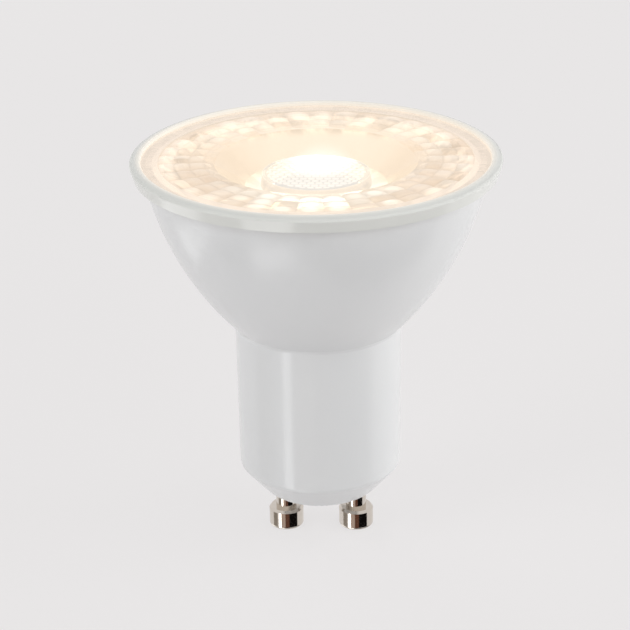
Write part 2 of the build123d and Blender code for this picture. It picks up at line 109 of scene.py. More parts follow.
class Made:
    """A node in a tree; its outputs are taken by name or number."""

    def __init__(self, net, node):
        self.net = net
        self.node = node

    def __getitem__(self, key):
        return Wire(self.net, self.node.outputs[key])


class Net:
    """A node tree, of a material or of a shape."""

    def __init__(self, tree):
        self.tree = tree

    def node(self, kind, settings=None, sockets=None):
        """Adds a node, makes its settings, and then sets or links its sockets."""
        node = self.tree.nodes.new(kind)
        for name, value in (settings or {}).items():
            if name == "stops":
                fill_ramp(node.color_ramp, value)
            else:
                setattr(node, name, value)
        for key, value in (sockets or {}).items():
            if isinstance(value, Wire):
                self.tree.links.new(value.socket, node.inputs[key])
            else:
                node.inputs[key].default_value = value
        return Made(self, node)

    def mix(self, share, first, second):
        """Colour between two colours."""
        sockets = {0: share, 6: first, 7: second}
        return self.node("ShaderNodeMix", {"data_type": "RGBA"}, sockets)[2]

    def scaled(self, colour, amount):
        """A colour made brighter or darker."""
        sockets = {0: colour, "Scale": amount}
        return self.node("ShaderNodeVectorMath", {"operation": "SCALE"}, sockets)["Vector"]


def fill_ramp(ramp, stops):
    """Sets the stops of a colour ramp, as place and colour."""
    while len(ramp.elements) < len(stops):
        ramp.elements.new(1.0)
    for element, (place, colour) in zip(ramp.elements, stops):
        element.position = place
        element.color = colour


def paint(red, green, blue):
    """A colour given in screen values from 0 to 255."""
    shares = [value / 255 for value in (red, green, blue)]
    linear = [((share + 0.055) / 1.055) ** 2.4 if share > 0.04045 else share / 12.92 for share in shares]
    return (*linear, 1.0)


def material(name):
    """A fresh material and its net, with the output node alone."""
    made = bpy.data.materials.new(name)
    made.use_nodes = True
    net = Net(made.node_tree)
    made.node_tree.nodes.clear()
    return made, net


def surface(net, **sockets):
    """Principled surface with the given sockets, as the material's output."""
    named = {key.replace("_", " "): value for key, value in sockets.items()}
    shader = net.node("ShaderNodeBsdfPrincipled", None, named)
    net.node("ShaderNodeOutputMaterial", None, {"Surface": shader["BSDF"]})


def place_on(net):
    """Point on the piece, in metres in the lamp's frame."""
    return net.node("ShaderNodeTexCoord")["Object"]


def noise(net, size, detail=2.0):
    """Soft random values from 0 to 1, with lumps of about this size in metres."""
    sockets = {"Vector": place_on(net), "Scale": 1 / size, "Detail": detail}
    return net.node("ShaderNodeTexNoise", None, sockets)["Fac"]


def bump(net, pattern, depth):
    """Normal of a skin that a pattern of 0 to 1 raises by up to this depth in metres."""
    sockets = {"Height": pattern, "Distance": depth, "Strength": 1.0}
    return net.node("ShaderNodeBump", None, sockets)["Normal"]


def dress(name, finish):
    """Gives a CAD node, in each of its slots, the finish made for it."""
    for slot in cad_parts[name].material_slots:
        slot.material = finish


white_plastic, net = material("white_plastic")
flow = noise(net, size=0.012, detail=3.0)
specks = noise(net, size=0.00035, detail=1.0)
surface(
    net,
    Base_Color=net.mix(flow, paint(230, 231, 232), paint(234, 235, 235)),
    Roughness=0.19 + 0.06 * flow,
    Normal=bump(net, specks, depth=0.000006),
)
dress("housing", white_plastic)


# The two contact pins are turned brass, nickel plated and polished.
# Each is riveted over inside the base and carries a wide head below its neck.
nickel, net = material("nickel")
turning = noise(net, size=1 / 900, detail=1.0)
surface(
    net,
    Base_Color=net.mix(turning, paint(214, 206, 196), paint(224, 217, 208)),
    Metallic=1.0,
    Roughness=0.06 + 0.08 * turning,
)
for side in ("left", "right"):
    dress(f"contact_pin_{side}", nickel)


# The driver board is glass fibre under green solder mask, held upright between the neck's rails.
# Its copper tracks show through the mask as paler lines.
track_spacing = 0.0022
board_green, net = material("board_green")
level = noise(net, size=track_spacing, detail=0.0) * 6.0 % 1.0
track = level.band(0.30, 0.36, 0.64, 0.70)
weave = noise(net, size=0.0002, detail=1.0)
mask = net.mix(weave, paint(14, 74, 44), paint(20, 88, 54))
surface(
    net,
    Base_Color=net.mix(track, mask, paint(52, 128, 74)),
    Roughness=0.3 + 0.1 * weave,
    Normal=bump(net, track + 0.2 * weave, depth=0.00003),
)
dress("driver_board", board_green)


# The fusible resistor is lacquered green and sits in a black shrink sleeve.
# It lies across the driver board, with its two leads bent back through it.
resistor_body, net = material("resistor_body")
dips = noise(net, size=0.0006, detail=3.0)
surface(
    net,
    Base_Color=net.mix(dips, paint(94, 142, 112), paint(116, 162, 132)),
    Roughness=0.35 + 0.15 * dips,
    Normal=bump(net, dips, depth=0.00003),
)
dress("fuse_resistor", resistor_body)

shrink_sleeve, net = material("shrink_sleeve")
wrinkles = noise(net, size=0.0009, detail=4.0)
surface(
    net,
    Base_Color=net.mix(wrinkles, paint(28, 28, 29), paint(44, 44, 45)),
    Roughness=0.5 + 0.2 * wrinkles,
    Normal=bump(net, wrinkles, depth=0.00006),
)
dress("fuse_sleeve", shrink_sleeve)


# The film capacitor is a moulded red-brown box, filled with resin from below.
# It stands on the driver board, with its two leads through it.
film_box, net = material("film_box")
sparks = noise(net, size=0.00025)
surface(
    net,
    Base_Color=net.mix(sparks, paint(186, 62, 40), paint(206, 84, 56)),
    Roughness=0.3 + 0.2 * sparks,
    Normal=bump(net, sparks, depth=0.000012),
)
dress("film_capacitor", film_box)


# Both electrolytic cans are drawn aluminium in a dark blue shrink sleeve.
# They lie upright against the driver board, one over the other, with their leads bent into it.
can_sleeve, net = material("can_sleeve")
pull = noise(net, size=0.0012, detail=3.0)
surface(
    net,
    Base_Color=net.mix(pull, paint(30, 38, 68), paint(42, 52, 86)),
    Roughness=0.22 + 0.14 * pull,
    Normal=bump(net, pull, depth=0.00003),
)
for can in ("input_capacitor", "output_capacitor"):
    dress(can, can_sleeve)


# The choke is a sintered ferrite drum, wound with a few layers of enamelled copper wire.
# Its two pins go through the driver board, and its turns lie round the Y axis.
winding_pitch = 0.00022
ferrite, net = material("ferrite")
grain = noise(net, size=0.00012, detail=3.0)
surface(
    net,
    Base_Color=net.mix(grain, paint(46, 44, 44), paint(66, 64, 62)),
    Roughness=0.55 + 0.25 * grain,
    Normal=bump(net, grain, depth=0.00002),
)
dress("choke_core", ferrite)

winding_copper, net = material("winding_copper")
place = net.node("ShaderNodeSeparateXYZ", None, {0: place_on(net)})
turns = 0.5 + 0.5 * (place["Y"] * (2 * math.pi / winding_pitch)).of("SINE")
surface(
    net,
    Base_Color=net.mix(turns, paint(112, 52, 26), paint(204, 122, 70)),
    Metallic=0.8,
    Roughness=0.25 + 0.1 * noise(net, size=0.0005),
    Normal=bump(net, turns, depth=winding_pitch / 4),
)
dress("choke_winding", winding_copper)


# The rectifier, the driver chip and the diode are black epoxy packages, matt from the mould.
# They sit on the back of the driver board on their bent legs.
package_black, net = material("package_black")
filler = noise(net, size=0.00008, detail=3.0)
surface(
    net,
    Base_Color=net.mix(filler, paint(30, 30, 32), paint(48, 48, 50)),
    Roughness=0.5 + 0.2 * filler,
    Normal=bump(net, filler, depth=0.00001),
)
for package in ("bridge_rectifier", "driver_chip", "freewheel_diode"):
    dress(package, package_black)


# The chip resistors have a dark glazed top, and the chip capacitors are tan fired ceramic.
# They sit flat on the back of the driver board, with a metal cap at each end.
chips = {
    "chip_black": ((44, 44, 48), 0.15, "chip_resistor_", 4),
    "chip_tan": ((172, 142, 112), 0.45, "chip_capacitor_", 2),
}
for slot_name, (colour, gloss, stem, count) in chips.items():
    fired, net = material(slot_name)
    grain = noise(net, size=0.0001, detail=2.0)
    paler = [value + (255 - value) * 0.08 for value in colour]
    surface(
        net,
        Base_Color=net.mix(grain, paint(*colour), paint(*paler)),
        Roughness=gloss + 0.2 * grain,
        Normal=bump(net, grain, depth=0.000006),
    )
    for number in range(1, count + 1):
        dress(f"{stem}{number}", fired)


# Two wires lead up from the pins, and two from the driver board to the LED board.
# Each is stranded copper in extruded insulation, matt and slightly uneven.
insulation = {
    "wire_white": ((222, 220, 214), "input_wire_left", "input_wire_right"),
    "wire_black": ((34, 34, 35), "output_wire_left"),
    "wire_red": ((186, 36, 28), "output_wire_right"),
}
for slot_name, (colour, *wires) in insulation.items():
    sheath, net = material(slot_name)
    drag = noise(net, size=0.0007, detail=3.0)
    paler = [value + (255 - value) * 0.12 for value in colour]
    surface(
        net,
        Base_Color=net.mix(drag, paint(*colour), paint(*paler)),
        Roughness=0.42 + 0.15 * drag,
        Normal=bump(net, drag, depth=0.00002),
    )
    for wire in wires:
        dress(wire, sheath)


# The heat-sink cup is drawn from aluminium sheet, bright inside from the press tool.
# It nests in the bowl. Its warm glow behind the lens is painted light: the cup is no lamp, and an even
# emission stands in for the LEDs' light that fills it.
drawn_aluminium, net = material("drawn_aluminium")
surface(
    net,
    Base_Color=paint(205, 206, 208),
    Roughness=0.3 + 0.1 * noise(net, size=0.0008),
    # Painted glow: this warm emission stands in for the LEDs' light falling in the cup.
    Emission_Color=(1.0, 0.80, 0.58, 1.0),
    Emission_Strength=0.75,
)
dress("heat_sink_cup", drawn_aluminium)


# The thermal pad is a soft grey silicone sheet, filled with ceramic powder.
# It is pressed flat between the LED board and the floor of the cup.
pad_silicone, net = material("pad_silicone")
powder = noise(net, size=0.00015, detail=4.0)
surface(
    net,
    Base_Color=net.mix(powder, paint(150, 155, 160), paint(174, 178, 182)),
    Roughness=0.75 + 0.15 * powder,
    Normal=bump(net, powder, depth=0.00002),
)
dress("thermal_pad", pad_silicone)


# The LEDs stand in a square of four: white frames filled with yellow phosphor gel, all lit.
# They are reflow soldered to a white-masked aluminium board that spreads their heat.
led_package, net = material("led_package")
grain = noise(net, size=0.00006, detail=1.0)
surface(
    net,
    Base_Color=net.mix(grain, paint(246, 218, 132), paint(252, 236, 170)),
    Roughness=0.4 + 0.2 * grain,
    Emission_Color=(1.0, 0.78, 0.5, 1.0),
    Emission_Strength=6.0,
)
for number in range(1, 5):
    dress(f"led_{number}", led_package)

board_white, net = material("board_white")
grain = noise(net, size=0.0006)
surface(
    net,
    Base_Color=net.mix(grain, paint(236, 234, 227), paint(243, 241, 236)),
    Roughness=0.4 + 0.15 * grain,
    # Painted glow: the board is no lamp; this warm emission stands in for the LEDs' light spilling over it.
    Emission_Color=(1.0, 0.85, 0.65, 1.0),
    Emission_Strength=1.2,
)
dress("led_board", board_white)


# Two zinc-plated steel screws hold the LED board.
# They go through board, pad and cup into the housing's bosses, where they cut their own thread.
screw_steel, net = material("screw_steel")
blotches = noise(net, size=0.0005, detail=3.0)
surface(
    net,
    Base_Color=net.mix(blotches, paint(178, 180, 184), paint(202, 202, 200)),
    Metallic=1.0,
    Roughness=0.22 + 0.2 * blotches,
    Normal=bump(net, noise(net, size=0.0001), depth=0.000004),
)
dress("board_screws", screw_steel)


# The lens is one clear moulding, held by its flange: three rings of domed facets round a well,
# a honeycomb button in the well, and below them the collimator that stands over the LEDs.
# Its shape tree domes the facets and the button by the rule that the mould was cut to.
flange_radius = 0.02405
flange_face_z = 0.05545
flange_seat_z = 0.0546
step_radius = 0.0212
facet_count = 36
facet_steps = 12
facet_ring_radii = (0.016, 0.01805, 0.0201)
facet_roundness = 0.4
dome_top_z = 0.0554
land_z = 0.0551
well_mouth_radius = 0.0137
well_foot_radius = 0.0096
well_floor_z = 0.05175
button_foot_radius = 0.0075
button_radius = 0.0073
button_z = 0.05335
button_margin = 0.0005
cell_pitch = 0.00108
cell_rise = 0.00016
collimator_top = (0.02035, 0.0541)
collimator_middle = (0.01431, 0.04836)
collimator_foot = (0.0071, 0.0442)
led_face_z = 0.0435
entry_radius = 0.0056
entry_roof_z = 0.0481
crown_drop = 0.0008
crease = math.radians(12)
plain, facets, button, underside = 0.0, 1.0, 2.0, 3.0
button_steps = 70
wall_steps = 10
facet_ring_steps = (4, 14, 12, 10)
collimator_steps = 30
entry_steps = 6
roof_steps = 10


def run(first, last, steps, zone):
    """Section points on a straight run, without its last point."""
    shares = [step / steps for step in range(steps)]
    return [(first[0] + (last[0] - first[0]) * t, first[1] + (last[1] - first[1]) * t, zone) for t in shares]


def bend(first, middle, last, steps, zone):
    """Section points on a shallow curve through three points, without its last point."""
    pull = [2 * m - (a + b) / 2 for a, m, b in zip(first, middle, last)]
    points = []
    for step in range(steps):
        t = step / steps
        r, z = [(1 - t) ** 2 * a + 2 * t * (1 - t) * c + t * t * b for a, c, b in zip(first, pull, last)]
        points.append((r, z, zone))
    return points


def facet_edges(angle):
    """Radii of the domes' tips and of the valleys between them, at an angle from a facet's middle."""
    first = facet_ring_radii[0]
    rise = dome_top_z - land_z
    reach = 2 * facet_roundness * first * rise - rise * rise
    edges = [well_mouth_radius]
    edges.append(first * math.cos(angle) - math.sqrt(reach - (first * math.sin(angle)) ** 2))
    for low, high in zip(facet_ring_radii, facet_ring_radii[1:]):
        valley = low + (high - low) * math.sqrt(low) / (math.sqrt(low) + math.sqrt(high))
        edges.append(valley / math.cos(angle))
    return edges + [step_radius]


def lens_section(angle):
    """The lens's closed section, from the top of its axis round to the bottom, as radius, height and zone."""
    slice_angle = 2 * math.pi / facet_count
    folded = (angle + slice_angle / 2) % slice_angle - slice_angle / 2
    rows = run((0, button_z), (button_radius, button_z), button_steps, button)
    rows += run((button_radius, button_z), (button_foot_radius, well_floor_z), 3, plain)
    rows += run((button_foot_radius, well_floor_z), (well_foot_radius, well_floor_z), 4, plain)
    rows += run((well_foot_radius, well_floor_z), (well_mouth_radius, land_z), wall_steps, plain)
    edges = facet_edges(folded)
    for low, high, steps in zip(edges, edges[1:], facet_ring_steps):
        rows += run((low, land_z), (high, land_z), steps, facets)
    rows.append((step_radius, land_z, facets))
    rows += run((step_radius, flange_face_z), (flange_radius, flange_face_z), 6, plain)
    rows += run((flange_radius, flange_face_z), (flange_radius, flange_seat_z), 2, plain)
    rows += run((flange_radius, flange_seat_z), (collimator_top[0], flange_seat_z), 3, underside)
    rows += run((collimator_top[0], flange_seat_z), collimator_top, 2, underside)
    rows += bend(collimator_top, collimator_middle, collimator_foot, collimator_steps, underside)
    rows += run(collimator_foot, (collimator_foot[0], led_face_z), 3, underside)
    rows += run((collimator_foot[0], led_face_z), (entry_radius, led_face_z), 2, underside)
    rows += run((entry_radius, led_face_z), (entry_radius, entry_roof_z), entry_steps, underside)
    crown = (0, entry_roof_z - crown_drop)
    crown_middle = (entry_radius * math.sqrt(0.5), entry_roof_z - crown_drop / 2)
    rows += bend((entry_radius, entry_roof_z), crown_middle, crown, roof_steps, underside)
    rows.append((*crown, underside))
    return rows


def turned(name, section, columns):
    """Closed mesh of revolution from the axis round to the axis; the section may change with the angle."""
    angles = [2 * math.pi * column / columns for column in range(columns)]
    sections = [section(angle) for angle in angles]
    last = len(sections[0]) - 1
    points = [(0.0, 0.0, sections[0][0][1]), (0.0, 0.0, sections[0][last][1])]
    zones = [sections[0][0][2], sections[0][last][2]]
    for row in range(1, last):
        for angle, rows in zip(angles, sections):
            r, z, zone = rows[row]
            points.append((r * math.cos(angle), r * math.sin(angle), z))
            zones.append(zone)
    faces = []
    for column in range(columns):
        here, there = 2 + column, 2 + (column + 1) % columns
        faces.append((0, here, there))
        for row in range(last - 2):
            low = row * columns
            faces.append((here + low, here + low + columns, there + low + columns, there + low))
        low = (last - 2) * columns
        faces.append((here + low, 1, there + low))
    mesh = bpy.data.meshes.new(name)
    mesh.from_pydata(points, [], faces)
    mesh.attributes.new("zone", "FLOAT", "POINT").data.foreach_set("value", zones)
    piece = bpy.data.objects.new(name, mesh)
    bpy.context.scene.collection.objects.link(piece)
    return piece


def shape_tree(name, **sizes):
    """A shape tree that takes a mesh and named sizes, with its net and its inputs as wires."""
    tree = bpy.data.node_groups.new(name, "GeometryNodeTree")
    tree.interface.new_socket(name="Geometry", in_out="INPUT", socket_type="NodeSocketGeometry")
    tree.interface.new_socket(name="Geometry", in_out="OUTPUT", socket_type="NodeSocketGeometry")
    for size in sizes:
        tree.interface.new_socket(name=size, in_out="INPUT", socket_type="NodeSocketFloat")
    net = Net(tree)
    return net, net.node("NodeGroupInput")


def keep_value(net, geometry, name, value, kind="FLOAT", domain="POINT"):
    """Stores a value under a name, for the material to read or the mesh to keep."""
    settings = {"data_type": kind, "domain": domain}
    sockets = {"Geometry": geometry, "Name": name, "Value": value}
    return net.node("GeometryNodeStoreNamedAttribute", settings, sockets)["Geometry"]


def keep_shape(net, geometry, finish):
    """Ends a shape tree: instances are made real and the finish is set."""
    real = net.node("GeometryNodeRealizeInstances", None, {"Geometry": geometry})["Geometry"]
    done = net.node("GeometryNodeSetMaterial", None, {"Geometry": real, "Material": finish})["Geometry"]
    net.node("NodeGroupOutput", None, {"Geometry": done})


def grow(piece, net, **sizes):
    """Runs a shape tree on a piece with its sizes, and keeps the result as a plain mesh."""
    modifier = piece.modifiers.new("shape", "NODES")
    modifier.node_group = net.tree
    for item in net.tree.interface.items_tree:
        if item.name in sizes:
            modifier[item.identifier] = sizes[item.name]
    bpy.context.view_layer.update()
    shaped = piece.evaluated_get(bpy.context.evaluated_depsgraph_get())
    mesh = bpy.data.meshes.new_from_object(shaped)
    piece.modifiers.remove(modifier)
    piece.data = mesh


def in_zone(zone, which):
    """1 on the surfaces marked with this zone."""
    return zone.band(which - 0.5, which - 0.4, which + 0.4, which + 0.5)


# The lens is no lamp: all its glow is painted light, emission mixed over clear plastic, standing in for the
# LEDs' light coming through it.
# Seen through the domes, the lit underside breaks up into patches, so its painted glow is streaked and ringed
# below them.
# The stops give that glow from the axis to the step, and a fainter painted glow on the top skin over it.
glow_stops = [
    (0.0, (0.95, 0.88, 0.78, 1.0)),
    (0.27, (1.0, 0.93, 0.83, 1.0)),
    (0.36, (0.98, 0.88, 0.74, 1.0)),
    (0.50, (0.98, 0.86, 0.70, 1.0)),
    (0.58, (0.84, 0.68, 0.52, 1.0)),
    (0.68, (0.74, 0.55, 0.40, 1.0)),
    (0.82, (0.76, 0.57, 0.41, 1.0)),
    (0.88, (0.97, 0.78, 0.60, 1.0)),
    (1.0, (0.95, 0.78, 0.64, 1.0)),
]
skin_stops = [
    (0.0, (1.1, 1.05, 1.0, 1.0)),
    (0.25, (1.05, 1.0, 0.92, 1.0)),
    (0.36, (1.0, 0.92, 0.80, 1.0)),
    (0.45, (0.94, 0.80, 0.61, 1.0)),
    (0.62, (0.96, 0.82, 0.64, 1.0)),
    (0.70, (1.03, 0.91, 0.77, 1.0)),
    (1.0, (1.04, 0.91, 0.77, 1.0)),
]
tile_stops = [
    (0.0, (0.90, 0.81, 0.71, 1.0)),
    (0.35, (0.98, 0.93, 0.87, 1.0)),
    (0.7, (1.06, 1.03, 1.0, 1.0)),
    (1.0, (0.94, 0.93, 0.92, 1.0)),
]
glow_share = 0.6
skin_share = 0.42
streaks_round = 6.0
streaks_out = 260.0
glow_ring_pitch = 0.0016
under_outer_facets = (0.0176, 0.0186, 0.0203, 0.0207)
under_inner_facets = (0.0085, 0.0095, 0.0135, 0.0145)
under_well_wall = (0.0125, 0.0145, 0.0176, 0.0186)
even_streaks, outer_streaks, inner_streaks = 0.06, 0.9, 0.5
streak_edges = (0.4, 0.6)
glow_ring_contrast = 0.1
rear_reach = (0.45, 1.0)
rear_share = 0.6
seam_shade = 0.15
cell_shade = 0.42
cell_rim = (0.1, 0.6)
glare_place = (0.0004, 0.0045)
glare_reach = (0.0052, 0.0068)
glare_edge = (0.1, 1.3)
front_reach = (0.72, 0.92)
sparkle_share, front_sparkle_share = 0.2, 0.5
sparkling_tops = (0.62, 0.97)
sparkling_tiles = (0.1, 0.6)
rear_glow = (1.1, 1.02, 0.9, 1.0)
glare_white = (1.5, 1.5, 1.5, 1.0)
sparkle_white = (1.6, 1.52, 1.35, 1.0)

clear_lens, net = material("clear_lens")
place = net.node("ShaderNodeSeparateXYZ", None, {0: place_on(net)})
x, y = place["X"], place["Y"]
radius = (x * x + y * y) ** 0.5
kept = ("zone", "dome", "tile", "border")
marks = [net.node("ShaderNodeAttribute", {"attribute_name": name}) for name in kept]
zone, dome, tile, border = [mark["Fac"] for mark in marks]
below = zone.step(underside - 0.5, underside - 0.4)
on_facets = in_zone(zone, facets)
on_button = in_zone(zone, button)

glow = net.node("ShaderNodeValToRGB", {"stops": glow_stops}, {0: radius / step_radius})["Color"]
sockets = {"X": streaks_round * x / radius, "Y": streaks_round * y / radius, "Z": streaks_out * radius}
ray = net.node("ShaderNodeCombineXYZ", None, sockets)["Vector"]
sockets = {"Vector": ray, "Scale": 1.0, "Detail": 4.0, "Roughness": 0.6}
streaks = net.node("ShaderNodeTexNoise", None, sockets)["Fac"].step(*streak_edges) - 0.5
# Painted light: bright and dark rings in the glow under the outer facets.
glow_rings = (radius * (2 * math.pi / glow_ring_pitch)).of("SINE")
outer = radius.band(*under_outer_facets)
inner = radius.band(*under_inner_facets)
contrast = even_streaks + outer_streaks * outer + inner_streaks * inner
glow = net.scaled(glow, 1 + contrast * streaks + glow_ring_contrast * outer * glow_rings)
# Painted light: the glow behind the well's wall is brighter on the +Y side, away from the camera.
rear = (y / radius).step(*rear_reach) * radius.band(*under_well_wall)
glow = net.mix(rear_share * rear, glow, rear_glow)

# Painted light: the top skin glows warm by radius, and each facet's glow is made randomly brighter or darker
# by its tile tint.
skin = net.node("ShaderNodeValToRGB", {"stops": skin_stops}, {0: radius / step_radius})["Color"]
tint = net.node("ShaderNodeValToRGB", {"stops": tile_stops}, {0: tile})["Color"]
tint = net.mix(on_facets, (1.0, 1.0, 1.0, 1.0), tint)
skin = net.node("ShaderNodeVectorMath", {"operation": "MULTIPLY"}, {0: skin, 1: tint})["Vector"]
# Painted shade: the valleys between the domes and the rims of the button's cells are darkened.
cells = 1 - cell_shade * on_button * (1 - dome.step(*cell_rim))
skin = net.scaled(skin, (1 - seam_shade * border) * cells)
# Painted highlight: a white glare off the facets, over the button's +Y side, where the LEDs' image blazes.
across, along = [(way - middle) / reach for way, middle, reach in zip((x, y), glare_place, glare_reach)]
glare = 1 - (across ** 2.0 + along ** 2.0).step(*glare_edge)
skin = net.mix(glare * (1 - on_facets), skin, glare_white)
# Painted glints: white sparkles on the dome tops of some facets, stronger on the -Y side, towards the camera.
front = (-1.0 * y / radius).step(*front_reach)
sparkle = (sparkle_share + front_sparkle_share * front) * on_facets * dome.step(*sparkling_tops)
skin = net.mix(sparkle * tile.step(*sparkling_tiles), skin, sparkle_white)

clear = {"Base Color": (1, 1, 1, 1), "Roughness": 0.0, "IOR": 1.49, "Transmission Weight": 1.0}
light = {"Base Color": (0, 0, 0, 1), "Specular IOR Level": 0.0, "Roughness": 1.0, "Emission Strength": 1.0}
plastic = net.node("ShaderNodeBsdfPrincipled", None, clear)["BSDF"]
looks = []
for colour, part in ((skin, skin_share), (glow, glow_share)):
    shine = net.node("ShaderNodeBsdfPrincipled", None, {**light, "Emission Color": colour})["BSDF"]
    looks.append(net.node("ShaderNodeMixShader", None, {0: part, 1: plastic, 2: shine})["Shader"])
both = net.node("ShaderNodeMixShader", None, {0: below, 1: looks[0], 2: looks[1]})
net.node("ShaderNodeOutputMaterial", None, {"Surface": both["Shader"]})

lens_sizes = {
    "Facets": float(facet_count),
    "Roundness": facet_roundness,
    "Rise": dome_top_z - land_z,
    "Inner ring": facet_ring_radii[0],
    "Middle ring": facet_ring_radii[1],
    "Outer ring": facet_ring_radii[2],
    "Cell pitch": cell_pitch,
    "Cell rise": cell_rise,
    "Cells end": button_radius - button_margin,
    "Crease": crease,
}
valley_place = (0.75, 1.0)
foot_heights = (0.0, 0.02, 0.1, 0.3)
tiles_per_ring = 100.0
crease_edge = 0.01
net, sizes = shape_tree("domed_lens", **lens_sizes)
place = net.node("ShaderNodeSeparateXYZ", None, {0: net.node("GeometryNodeInputPosition")[0]})
x, y = place["X"], place["Y"]
radius = (x * x + y * y) ** 0.5
zone = net.node("GeometryNodeInputNamedAttribute", {"data_type": "FLOAT"}, {"Name": "zone"})["Attribute"]
on_facets = in_zone(zone, facets)
on_button = in_zone(zone, button)

slice_angle = 2 * math.pi / sizes["Facets"]
angle = y.of("ARCTAN2", x)
folded = (angle + slice_angle * 0.5) % slice_angle - slice_angle * 0.5
out = radius * folded.of("COSINE")
aside = radius * folded.of("SINE")
domes = -1.0
for ring in ("Inner ring", "Middle ring", "Outer ring"):
    ball = sizes["Roundness"] * sizes[ring]
    off = out - sizes[ring]
    height = (ball * ball - off * off - aside * aside) ** 0.5 - ball + sizes["Rise"]
    domes = height.of("MAXIMUM", domes)
domes = domes.of("MAXIMUM", 0.0)

pitch = sizes["Cell pitch"]
row_pitch = pitch * math.sqrt(3)
nearest = 1.0
for shift in (0.0, 0.5):
    across = (x + pitch * (shift + 0.5)) % pitch - pitch * 0.5
    along = (y + row_pitch * (shift + 0.5)) % row_pitch - row_pitch * 0.5
    reach = across * across + along * along
    nearest = reach.of("MINIMUM", nearest)
fade = 1 - radius.step(sizes["Cells end"] - pitch / 4, sizes["Cells end"])
cells = sizes["Cell rise"] * (1 - 3.0 * nearest / (pitch * pitch)) * fade

share = on_facets * domes / sizes["Rise"] + on_button * cells / sizes["Cell rise"]
column = ((angle + slice_angle * 0.5) / slice_angle).of("FLOOR")
rings_out = (radius - sizes["Inner ring"]) / (sizes["Middle ring"] - sizes["Inner ring"])
ring_number = rings_out.of("ROUND")
pick = net.node("FunctionNodeRandomValue", None, {"ID": column + tiles_per_ring * ring_number})[1]
marked = keep_value(net, sizes["Geometry"], "dome", share)
marked = keep_value(net, marked, "tile", pick)
side = (2.0 * folded.of("ABSOLUTE") / slice_angle).step(*valley_place)
seam = (2.0 * (rings_out - ring_number).of("ABSOLUTE")).step(*valley_place)
height = domes / sizes["Rise"]
foot = height.band(*foot_heights)
edge = height.step(*foot_heights[:2]) * seam.of("MAXIMUM", side)
marked = keep_value(net, marked, "border", on_facets * edge.of("MAXIMUM", foot))
rise = on_facets * domes + on_button * cells
lift = net.node("ShaderNodeCombineXYZ", None, {"Z": rise})["Vector"]
raised = net.node("GeometryNodeSetPosition", None, {"Geometry": marked, "Offset": lift})["Geometry"]
turn = net.node("GeometryNodeInputMeshEdgeAngle")["Unsigned Angle"]
sharp = turn.step(sizes["Crease"] - crease_edge, sizes["Crease"]) * (1 - on_button)
creased = keep_value(net, raised, "sharp_edge", sharp, "BOOLEAN", "EDGE")
smooth = net.node("GeometryNodeSetShadeSmooth", None, {"Geometry": creased})["Geometry"]
keep_shape(net, smooth, clear_lens)

lens = turned("domed_lens", lens_section, facet_count * facet_steps)
grow(lens, net, **lens_sizes)
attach(lens, "root")
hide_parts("lens")


# The front ring is a white moulding, faintly translucent, snapped over the rim of the bowl.
# It holds the lens by its flange. Its lip's warm glow, from the light that the lens leaks, is painted light:
# an emission round the inner edge.
lit_lip = (0.0236, 0.0245)
ring_plastic, net = material("ring_plastic")
flow = noise(net, size=0.006)
place = net.node("ShaderNodeSeparateXYZ", None, {0: place_on(net)})
radius = (place["X"] * place["X"] + place["Y"] * place["Y"]) ** 0.5
lip = 1 - radius.step(*lit_lip)
surface(
    net,
    Base_Color=net.mix(flow, paint(231, 232, 228), paint(235, 236, 231)),
    Roughness=0.12 + 0.06 * flow,
    Normal=bump(net, noise(net, size=0.003, detail=1.0), depth=0.000006),
    # Painted glow: warm emission on the lip next to the lens.
    Emission_Color=net.mix(lip, (0.0, 0.0, 0.0, 1.0), (1.0, 0.80, 0.60, 1.0)),
    Emission_Strength=0.2,
)
dress("front_ring", ring_plastic)


# The lamp stands on a plain pale floor in soft studio light.
# The camera, gloss and the lens see an even backdrop, and other rays a soft white room.
backdrop = paint(231, 229, 229)
floor_size = 4.0
floor_evenness = 0.8
floor_level = 1.06
soft_level = 0.43


def seen_directly(net):
    """1 for rays from the camera, off gloss or through the lens, and 0 for those that only bring light."""
    ray = net.node("ShaderNodeLightPath")
    direct = ray["Is Camera Ray"]
    for kind in ("Is Glossy Ray", "Is Transmission Ray"):
        direct = direct.of("MAXIMUM", ray[kind])
    return direct


bpy.ops.mesh.primitive_plane_add(size=floor_size)
floor = bpy.context.object
floor.name = "floor"
floor_paint, net = material("floor_paint")
matt = net.node("ShaderNodeBsdfDiffuse", None, {"Color": backdrop})
even = net.node("ShaderNodeEmission", None, {"Color": backdrop, "Strength": floor_level})
sockets = {0: floor_evenness * seen_directly(net), 1: matt["BSDF"], 2: even["Emission"]}
both = net.node("ShaderNodeMixShader", None, sockets)
net.node("ShaderNodeOutputMaterial", None, {"Surface": both["Shader"]})
floor.data.materials.append(floor_paint)
floor.visible_glossy = False
floor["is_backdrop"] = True

world = bpy.data.worlds.new("studio")
bpy.context.scene.world = world
world.use_nodes = True
world.node_tree.nodes.clear()
net = Net(world.node_tree)
soft = net.node("ShaderNodeBackground", None, {"Color": (1.0, 1.0, 1.0, 1.0), "Strength": soft_level})
even = net.node("ShaderNodeBackground", None, {"Color": backdrop, "Strength": 1.0})
sockets = {0: seen_directly(net), 1: soft["Background"], 2: even["Background"]}
both = net.node("ShaderNodeMixShader", None, sockets)
net.node("ShaderNodeOutputWorld", None, {"Surface": both["Shader"]})


